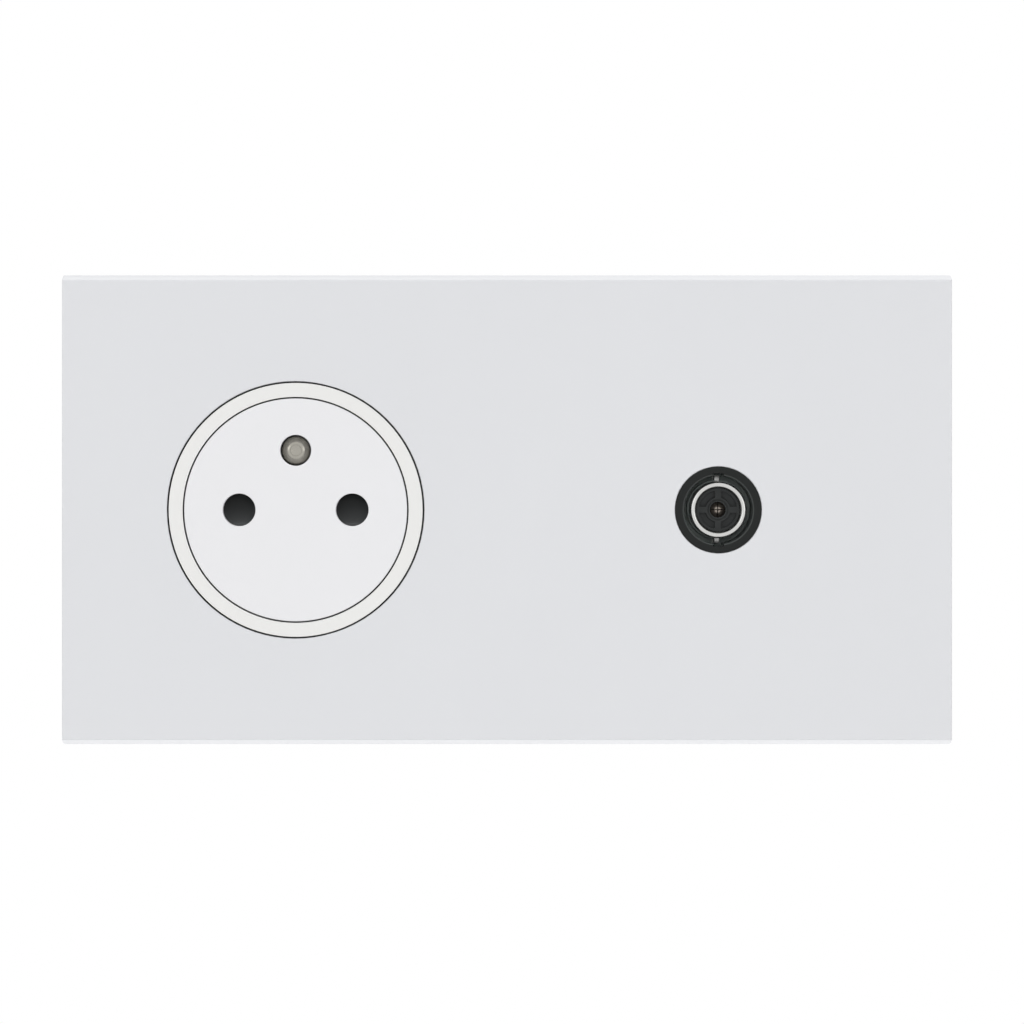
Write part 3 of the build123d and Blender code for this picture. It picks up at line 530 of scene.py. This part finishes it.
def fill_earth_pin(shape):
    """Pin with a dimpled, domed tip, a seating shoulder and a riveted tail."""
    shank = 2.4
    tip_y = -7.7
    dimple = 0.9
    dimple_y = tip_y + 0.12
    lip = 0.97
    lip_angle = math.radians(19.7)
    crown_round = 3.2
    crown_steps = 8
    turn_angle = math.radians(39.8)
    shoulder_round = 0.97
    shoulder_steps = 10
    seat_y = well_floor_y / MM
    tail = 1.9
    rivet = 2.6
    rivet_front = 18.9
    rivet_back = 19.7
    corners = [(0, dimple_y, 0), (dimple, dimple_y, 0.04), (lip, tip_y, 0.03)]
    crown_y = tip_y + crown_round * math.cos(lip_angle)
    for step in range(crown_steps + 1):
        angle = lip_angle + (turn_angle - lip_angle) * step / crown_steps
        corners.append((crown_round * math.sin(angle), crown_y - crown_round * math.cos(angle), 0))
    shoulder_y = corners[-1][1] + shoulder_round * math.cos(turn_angle)
    for step in range(1, shoulder_steps + 1):
        angle = turn_angle + (math.pi / 2 - turn_angle) * step / shoulder_steps
        radius = shank - shoulder_round + shoulder_round * math.sin(angle)
        corners.append((radius, shoulder_y - shoulder_round * math.cos(angle), 0))
    corners += [
        (shank, seat_y, 0.1),
        (tail, seat_y, 0),
        (tail, rivet_front, 0),
        (rivet, rivet_front, 0.08),
        (rivet, rivet_back, 0.45),
        (0, rivet_back, 0),
    ]
    turned(shape, rounded(corners), socket_x, earth_z, around=72, closed=False)


def fill_sleeve(shape):
    """Plug sleeve with a fully rounded rim, a seating flange and a stub."""
    wall_middle = (sleeve_bore + sleeve_outside) / 2
    half_wall = (sleeve_outside - sleeve_bore) / 2
    rim_y = face_y / MM
    rim_depth = 0.75
    rim_steps = 16
    flange = 5.9
    flange_back = 3.3
    stub = 4.2
    stub_end = 5.0
    rim = []
    for step in range(rim_steps + 1):
        angle = math.pi * step / rim_steps
        radius = wall_middle - half_wall * math.cos(angle)
        rim.append((radius, rim_y + rim_depth * (1 - math.sin(angle)), 0))
    corners = [
        (sleeve_bore, stub_end, 0.05),
        *rim,
        (sleeve_outside, channel_floor, 0),
        (flange, channel_floor, 0.08),
        (flange, flange_back, 0.08),
        (stub, flange_back, 0),
        (stub, stub_end, 0.1),
    ]
    turned(shape, rounded(corners), tv_x, 0, around=128, closed=True)


def fill_sleeve_root(shape):
    """Painted shade round the sleeve's root: a ring in the dark moulding's finish, a little wider at its
    foot.
    """
    inside = sleeve_outside + 0.02
    outside = 5.0
    foot = 5.09
    front = -2.3
    back = channel_floor - 0.05
    step_front = 1.9
    step_back = 1.95
    corners = [
        (inside, front, 0),
        (outside, front, 0.08),
        (outside, step_front, 0),
        (foot, step_back, 0),
        (foot, back, 0),
        (inside, back, 0),
    ]
    turned(shape, rounded(corners), tv_x, 0, around=96, closed=True)


def fill_sleeve_lugs(shape):
    """One lug above the sleeve and one below."""
    middle = tv_x / MM
    half_width = 0.46
    front = -2.5
    inner = 4.6
    outer = 5.7
    for low, high in ((inner, outer), (-outer, -inner)):
        start = (middle - half_width, front, low)
        end = (middle + half_width, channel_floor, high)
        add_block(shape, start, end, rounding=0.07)


def fill_centre_contact(shape):
    """Four spring fingers that close at their tips, on a root with a drilled bottom and a tail."""
    tube = 1.4
    tube_bore = 1.1
    bend_y = -3.6
    tip = 0.55
    tip_bore = 0.16
    tip_y = -5.8
    tip_inside = 0.3
    tip_inside_y = -5.35
    finger_end = 1.2
    finger = [
        (tube, finger_end, 0),
        (tube, bend_y, 0.8),
        (tip, tip_y, 0.3),
        (tip_bore, tip_y, 0),
        (tip_bore, tip_inside_y, 0),
        (tip_inside, tip_inside_y, 0),
        (tube_bore, bend_y, 0.4),
        (tube_bore, finger_end, 0),
    ]
    finger_profile = rounded(finger, arc_steps=4)
    for quarter in range(4):
        turned_arc(shape, finger_profile, tv_x, 0, start=quarter * math.pi / 2, half_slot=0.1, steps=12)
    drill_tip = 0.34
    drill_y = 0.95
    root_bore = 1.09
    root_front = 0.45
    root_back = 2.2
    tail = 0.75
    tail_end = 10.05
    root = [
        (0, drill_y, 0),
        (drill_tip, drill_y, 0),
        (root_bore, root_front, 0),
        (tube, root_front, 0),
        (tube, root_back, 0.1),
        (tail, root_back, 0),
        (tail, tail_end, 0.15),
        (0, tail_end, 0),
    ]
    turned(shape, rounded(root, arc_steps=4), tv_x, 0, around=48, closed=False)


def new_tree(name, sizes):
    """A geometry tree whose inputs are named sizes and a finish. Gives its board and its inputs."""
    tree = bpy.data.node_groups.new(name, "GeometryNodeTree")
    tree.interface.new_socket("Places", in_out="INPUT", socket_type="NodeSocketGeometry")
    for label, kind in sizes.items():
        tree.interface.new_socket(label, in_out="INPUT", socket_type=kind)
    tree.interface.new_socket("Finish", in_out="INPUT", socket_type="NodeSocketMaterial")
    tree.interface.new_socket("Pieces", in_out="OUTPUT", socket_type="NodeSocketGeometry")
    board = Board(tree)
    entry = tree.nodes.new("NodeGroupInput")
    return board, {socket.name: Term(board, socket) for socket in entry.outputs if socket.name}


def end_tree(board, inputs, piece):
    """Sets one copy at every place with its axis along the place's own way, turned by a fixed draw."""
    way = board.node("GeometryNodeInputNamedAttribute", {"data_type": "FLOAT_VECTOR"}, {"Name": "way"})
    aligned = board.node("FunctionNodeAlignRotationToVector", {"axis": "Z"}, {"Vector": way})
    sockets = {2: 0.0, 3: math.tau, "Seed": 5}
    draw = board.node("FunctionNodeRandomValue", {"data_type": "FLOAT"}, sockets, output=1)
    spin = board.node("FunctionNodeAxisAngleToRotation", sockets={"Axis": (0, 0, 1), "Angle": draw})
    sockets = {"Rotation": aligned, "Rotate By": spin}
    rotation = board.node("FunctionNodeRotateRotation", {"rotation_space": "LOCAL"}, sockets)
    sockets = {"Points": inputs["Places"], "Instance": piece, "Rotation": rotation}
    copies = board.node("GeometryNodeInstanceOnPoints", sockets=sockets)
    realised = board.node("GeometryNodeRealizeInstances", sockets={0: copies})
    sockets = {"Geometry": realised, "Material": inputs["Finish"]}
    painted = board.node("GeometryNodeSetMaterial", sockets=sockets)
    ending = board.tree.nodes.new("NodeGroupOutput")
    board.feed(ending.inputs[0], painted)
    return board.tree


def coil_tree():
    """Round-wire coil along Z with a closed turn at each end."""
    closed_turns = 1.0
    wire_facets = 12
    sizes = {
        "Coil Diameter": "NodeSocketFloat",
        "Wire": "NodeSocketFloat",
        "Length": "NodeSocketFloat",
        "Turns": "NodeSocketFloat",
        "Points": "NodeSocketInt",
    }
    board, inputs = new_tree("coil spring", sizes)
    wire, turns, points = inputs["Wire"], inputs["Turns"], inputs["Points"]
    index = board.node("GeometryNodeInputIndex")
    turn = turns * index / (points - 1)
    rise = inputs["Length"] - wire
    open_pitch = (rise - 2 * closed_turns * wire) / (turns - 2 * closed_turns)
    low = board.maths("MINIMUM", turn, closed_turns)
    high = board.maths("MAXIMUM", turn - (turns - closed_turns), 0.0)
    middle = turn - low - high
    height = (low + high) * wire + middle * open_pitch + wire * 0.5
    radius = (inputs["Coil Diameter"] - wire) * 0.5
    angle = turn * math.tau
    place = board.vector(radius * board.maths("COSINE", angle), radius * board.maths("SINE", angle), height)
    line = board.node("GeometryNodeMeshLine", sockets={"Count": points})
    line = board.node("GeometryNodeSetPosition", sockets={"Geometry": line, "Position": place})
    path = board.node("GeometryNodeMeshToCurve", sockets={"Mesh": line})
    sockets = {"Resolution": wire_facets, "Radius": wire * 0.5}
    section = board.node("GeometryNodeCurvePrimitiveCircle", sockets=sockets)
    sockets = {"Curve": path, "Profile Curve": section, "Fill Caps": True}
    return end_tree(board, inputs, board.node("GeometryNodeCurveToMesh", sockets=sockets))


def screw_tree():
    """Slotted cheese-head screw along Z with its head's underside at the place."""
    shank_facets = 24
    thread_cut = 0.9
    head_facets = 40
    head_rows = 8
    crown_start = 0.6
    crown_fall = 0.55
    slot_reach = 1.2
    sizes = {
        "Shank": "NodeSocketFloat",
        "Length": "NodeSocketFloat",
        "Pitch": "NodeSocketFloat",
        "Head": "NodeSocketFloat",
        "Head Height": "NodeSocketFloat",
        "Slot": "NodeSocketFloat",
        "Rows": "NodeSocketInt",
    }
    board, inputs = new_tree("slotted screw", sizes)
    length, pitch = inputs["Length"], inputs["Pitch"]
    head_height = inputs["Head Height"]
    sockets = {
        "Vertices": shank_facets,
        "Side Segments": inputs["Rows"],
        "Radius": inputs["Shank"] * 0.5,
        "Depth": length,
    }
    shank = board.node("GeometryNodeMeshCylinder", sockets=sockets)
    place = board.node("GeometryNodeInputPosition")
    x, y, z = (board.node("ShaderNodeSeparateXYZ", sockets={0: place}, output=axis) for axis in "XYZ")
    phase = z / pitch - board.maths("ARCTAN2", y, x) / math.tau
    flank = board.maths("ABSOLUTE", board.maths("FRACT", phase) - 0.5) * 2
    share = 1 - flank * pitch * thread_cut / inputs["Shank"]
    cut = board.vector(x * share, y * share, z - length * 0.5)
    shank = board.node("GeometryNodeSetPosition", sockets={"Geometry": shank, "Position": cut})
    sockets = {
        "Vertices": head_facets,
        "Side Segments": head_rows,
        "Radius": inputs["Head"] * 0.5,
        "Depth": head_height,
    }
    head = board.node("GeometryNodeMeshCylinder", sockets=sockets)
    up = z / head_height + 0.5
    crown = 1 - board.maths("MAXIMUM", up - crown_start, 0.0) ** 2 * crown_fall
    domed = board.vector(x * crown, y * crown, z + head_height * 0.5)
    head = board.node("GeometryNodeSetPosition", sockets={"Geometry": head, "Position": domed})
    size = board.vector(inputs["Head"] * slot_reach, inputs["Slot"], head_height)
    bar = board.node("GeometryNodeMeshCube", sockets={"Size": size})
    lift = board.vector(z=head_height)
    bar = board.node("GeometryNodeTransform", sockets={"Geometry": bar, "Translation": lift})
    sockets = {"Mesh 1": head, "Mesh 2": bar}
    head = board.node("GeometryNodeMeshBoolean", {"operation": "DIFFERENCE", "solver": "EXACT"}, sockets)
    whole = board.node("GeometryNodeJoinGeometry", sockets={0: [shank, head]})
    return end_tree(board, inputs, whole)


def grown(name, tree, places, ways, sizes, finish):
    """Runs a geometry tree on points and keeps its result as a plain mesh."""
    seeds = bpy.data.meshes.new(name + " places")
    seeds.from_pydata(places, [], [])
    own_ways = seeds.attributes.new("way", "FLOAT_VECTOR", "POINT")
    own_ways.data.foreach_set("vector", [part for way in ways for part in way])
    piece = bpy.data.objects.new(name, seeds)
    scene.collection.objects.link(piece)
    maker = piece.modifiers.new("maker", "NODES")
    maker.node_group = tree
    values = dict(sizes, Finish=finish)
    for socket in tree.interface.items_tree:
        if socket.in_out == "INPUT" and socket.name in values:
            maker[socket.identifier] = values[socket.name]
    bpy.context.view_layer.update()
    ready = piece.evaluated_get(bpy.context.evaluated_depsgraph_get())
    mesh = bpy.data.meshes.new_from_object(ready)
    piece.modifiers.clear()
    piece.data = mesh
    mesh.name = name
    keep_shading(mesh)
    return piece


def coil_sizes(diameter, wire, length, turns, steps_per_turn):
    """Named inputs of the coil tree, from sizes in metres."""
    return {
        "Coil Diameter": diameter,
        "Wire": wire,
        "Length": length,
        "Turns": float(turns),
        "Points": turns * steps_per_turn + 1,
    }


def make_springs():
    """The two return springs behind the face and the small one under the shutter."""
    tree = coil_tree()
    seat_gap = 0.05 * MM
    face_thickness = 2.2 * MM
    side = 7 * MM
    rise = 12.5 * MM
    start = face_y + face_thickness + seat_gap
    length = well_floor_y - start - seat_gap
    sizes = coil_sizes(diameter=4.9 * MM, wire=0.5 * MM, length=length, turns=7, steps_per_turn=28)
    places = [(socket_x - side, start, rise), (socket_x + side, start, -rise)]
    coils = grown("return_coils", tree, places, [(0, 1, 0)] * 2, sizes, wire_finish)
    stand_for(coils, "housing", "plated_steel", "return_springs")
    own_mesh(coils)

    length = 11.95 * MM
    foot = (socket_x, -3.15 * MM, -15.1 * MM)
    sizes = coil_sizes(diameter=2.75 * MM, wire=0.35 * MM, length=length, turns=9, steps_per_turn=24)
    coil = grown("shutter_coil", tree, [foot], [(0, 0, 1)], sizes, wire_finish)
    stand_for(coil, "face", "plated_steel", "shutter_spring")
    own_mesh(coil)


def screw_sizes(shank, length, pitch, head, head_height):
    """Named inputs of the screw tree, from sizes in millimetres."""
    slot = 0.7
    rows_per_turn = 8
    return {
        "Shank": shank * MM,
        "Length": length * MM,
        "Pitch": pitch * MM,
        "Head": head * MM,
        "Head Height": head_height * MM,
        "Slot": slot * MM,
        "Rows": round(rows_per_turn * length / pitch),
    }


def make_screws():
    """Every screw of the two outlets, grown from one tree."""
    tree = screw_tree()
    socket, tv = socket_x / MM, tv_x / MM
    corner = 18.7
    cover_back = 29.65
    pin_side = 9.5
    terminal_y = 23.25
    pole_z = -19.3
    earth_screw_z = 20.8
    core_screw = (tv, 14.15, 0)
    clamp_screw = (tv + 6.5, 13.0, -11.95)
    back, up, down = (0, 1, 0), (0, 0, 1), (0, 0, -1)
    kinds = {
        "body_screws": (
            [(socket - corner, cover_back, -corner), (socket + corner, cover_back, corner)],
            [back, back],
            screw_sizes(shank=2.9, length=21.05, pitch=0.55, head=5.4, head_height=1.6),
        ),
        "terminal_screws": (
            [
                (socket - pin_side, terminal_y, pole_z),
                (socket + pin_side, terminal_y, pole_z),
                (socket, terminal_y, earth_screw_z),
            ],
            [down, down, up],
            screw_sizes(shank=3.0, length=1.5, pitch=0.5, head=4.4, head_height=1.6),
        ),
        "tv_core_screw": (
            [core_screw],
            [back],
            screw_sizes(shank=2.0, length=1.2, pitch=0.4, head=3.6, head_height=1.5),
        ),
        "tv_clamp_screw": (
            [clamp_screw],
            [back],
            screw_sizes(shank=2.2, length=6.0, pitch=0.45, head=4.0, head_height=1.5),
        ),
    }
    for node, (places, ways, sizes) in kinds.items():
        places = [[value * MM for value in place] for place in places]
        screws = grown(node + "_threaded", tree, places, ways, sizes, screw_finish)
        stand_for(screws, "housing", "plated_steel", node)


def make_mouldings():
    """Plastic pieces, with the rounding in millimetres that a mould leaves."""
    eased("cover_plate", 0.16, plate_finish, "plate_white")
    eased("socket_collar", 0.12, well_finish, "white_moulding")
    eased("socket_base", 0.15, well_finish, "white_moulding")
    eased("rear_cover", 0.2, well_finish, "white_moulding")
    eased("face_disc", 0.12, disc_finish, "white_moulding")
    eased("shutter_cage", 0.1, shutter_finish, "dark_moulding")
    eased("shutter", 0.15, shutter_finish, "dark_moulding")
    eased("tv_front", 0.12, nose_finish, "black_moulding")
    eased("tv_insulator", 0.08, core_finish, "dark_moulding")


def make_metalwork():
    """Pressed and cast metal, with its rounding in millimetres, and turned metal."""
    eased("support_frame", 0.12, frame_finish, "plated_steel", split=False)
    eased("tv_housing", 0.2, box_finish, "screen_metal")
    eased("tv_shield_cover", 0.15, lid_finish, "plated_steel")
    eased("tv_braid_clamp", 0.1, lid_finish, "plated_steel")
    for node in ("line_terminal", "neutral_terminal", "earth_terminal", "tv_core_terminal"):
        eased(node, 0.15, brass_finish, "brass_parts")
    for node in ("line_contact", "neutral_contact", "earth_strap"):
        eased(node, 0.08, brass_finish, "brass_parts")
    turned_pieces = (
        ("earth_pin_turned", fill_earth_pin, pin_finish, "nickel_parts", "earth_pin"),
        ("tv_sleeve_turned", fill_sleeve, sleeve_finish, "nickel_parts", "tv_sleeve"),
        ("tv_sleeve_lugs", fill_sleeve_lugs, lug_finish, "nickel_parts", "tv_sleeve"),
        # the sleeve's metal root is given the dark moulding's finish as painted shade
        ("tv_sleeve_root", fill_sleeve_root, nose_finish, "black_moulding", "tv_sleeve"),
        ("tv_contact_fingers", fill_centre_contact, contact_finish, "brass_parts", "tv_centre_contact"),
    )
    for name, fill, finish, slot, node in turned_pieces:
        stand_for(turned_piece(name, fill, finish), "housing", slot, node)


def set_camera():
    """Long lens straight at the face, at the photograph's height and framing."""
    distance = 0.75
    side_step = 0.84 * MM
    eye_height = 10 * MM
    data = bpy.data.cameras.new("view")
    data.sensor_width = 36.0
    data.lens = 157.0
    data.shift_y = -0.0602
    camera = bpy.data.objects.new("view", data)
    camera.location = (side_step, face_y - distance, eye_height)
    camera.rotation_euler = (math.pi / 2, 0, 0)
    scene.collection.objects.link(camera)
    scene.camera = camera


def add_lamp(name, place, width, height, power, mirrored=True, aim=(0, 0, 0)):
    """A soft lamp that looks at a place, with or without its image in glossy surfaces."""
    data = bpy.data.lights.new(name, "AREA")
    data.shape = "RECTANGLE"
    data.size = width
    data.size_y = height
    data.energy = power
    lamp = bpy.data.objects.new(name, data)
    lamp.location = place
    lamp.rotation_euler = (Vector(aim) - Vector(place)).to_track_quat("-Z", "Y").to_euler()
    lamp.visible_camera = False
    lamp.visible_glossy = mirrored
    scene.collection.objects.link(lamp)


def ray_kinds(board, *kinds):
    """A term for each kind of ray, one on such rays and else nought."""
    return [board.node("ShaderNodeLightPath", output=f"Is {kind} Ray") for kind in kinds]


def set_light():
    """A studio that is seen as white but lights less than it shows, with soft lamps all round."""
    world = bpy.data.worlds.new("studio")
    world.use_nodes = True
    scene.world = world
    board = Board(world.node_tree)
    ambient = 0.555
    camera, glossy, through = ray_kinds(board, "Camera", "Glossy", "Transmission")
    seen = board.maths("MAXIMUM", board.maths("MAXIMUM", camera, glossy), through)
    sky = world.node_tree.nodes["Background"]
    sky.inputs["Color"].default_value = (1, 1, 1, 1)
    board.feed(sky.inputs["Strength"], ambient + (1 - ambient) * seen)
    add_lamp("upper lamp", (-0.04, -0.45, 1.2), width=0.9, height=0.7, power=6.4, mirrored=False)
    add_lamp("left lamp", (-0.9, -0.9, 0.3), width=0.5, height=0.5, power=0.7)
    add_lamp("right lamp", (1.0, -0.8, 0.2), width=0.5, height=0.5, power=0.7)
    add_lamp("lower lamp", (0, 0.06, -0.15), width=0.5, height=0.06, power=0.148, aim=(0, 0.06, 0))
    add_lamp("front lamp", (0, -0.8, 0.06), width=0.14, height=0.14, power=0.84, mirrored=False)
    add_lamp("back lamp", (0, 0.8, 1.3), width=0.9, height=0.8, power=3.0, mirrored=False)


def lay_floor():
    """Round pale floor below the plate, white where metal mirrors it and towards its rim."""
    floor_radius = 0.5
    floor_z = -0.16
    fade_width = 250.0
    mesh = bpy.data.meshes.new("floor")
    shape = bmesh.new()
    bmesh.ops.create_circle(shape, cap_ends=True, segments=96, radius=floor_radius)
    for vert in shape.verts:
        vert.co.z = floor_z
    shape.to_mesh(mesh)
    shape.free()
    finish = Finish("pale floor")
    paper = finish.noise(size=0.6)
    level = 1 + paper.swing(0.04)
    roughness = 0.75 + paper.swing(0.1)
    finish.give(finish.tint((0.9, 0.9, 0.9), level), roughness)
    glow = finish.node("ShaderNodeEmission")
    camera, glossy = ray_kinds(finish, "Camera", "Glossy")
    away = finish.distance(across=(1, 1, 0))
    fade = finish.steps(away / fade_width, (0.0, 0.0), (1.0, 1.0))
    share = finish.maths("MAXIMUM", glossy, camera * fade)
    surface = Term(finish, finish.shader.outputs["BSDF"])
    mixed = finish.node("ShaderNodeMixShader", sockets={0: share, 1: surface, 2: glow})
    finish.feed(finish.tree.nodes["Material Output"].inputs["Surface"], mixed)
    new_piece("floor", mesh, finish.material)


make_mouldings()
make_metalwork()
make_springs()
make_screws()
set_camera()
set_light()
lay_floor()
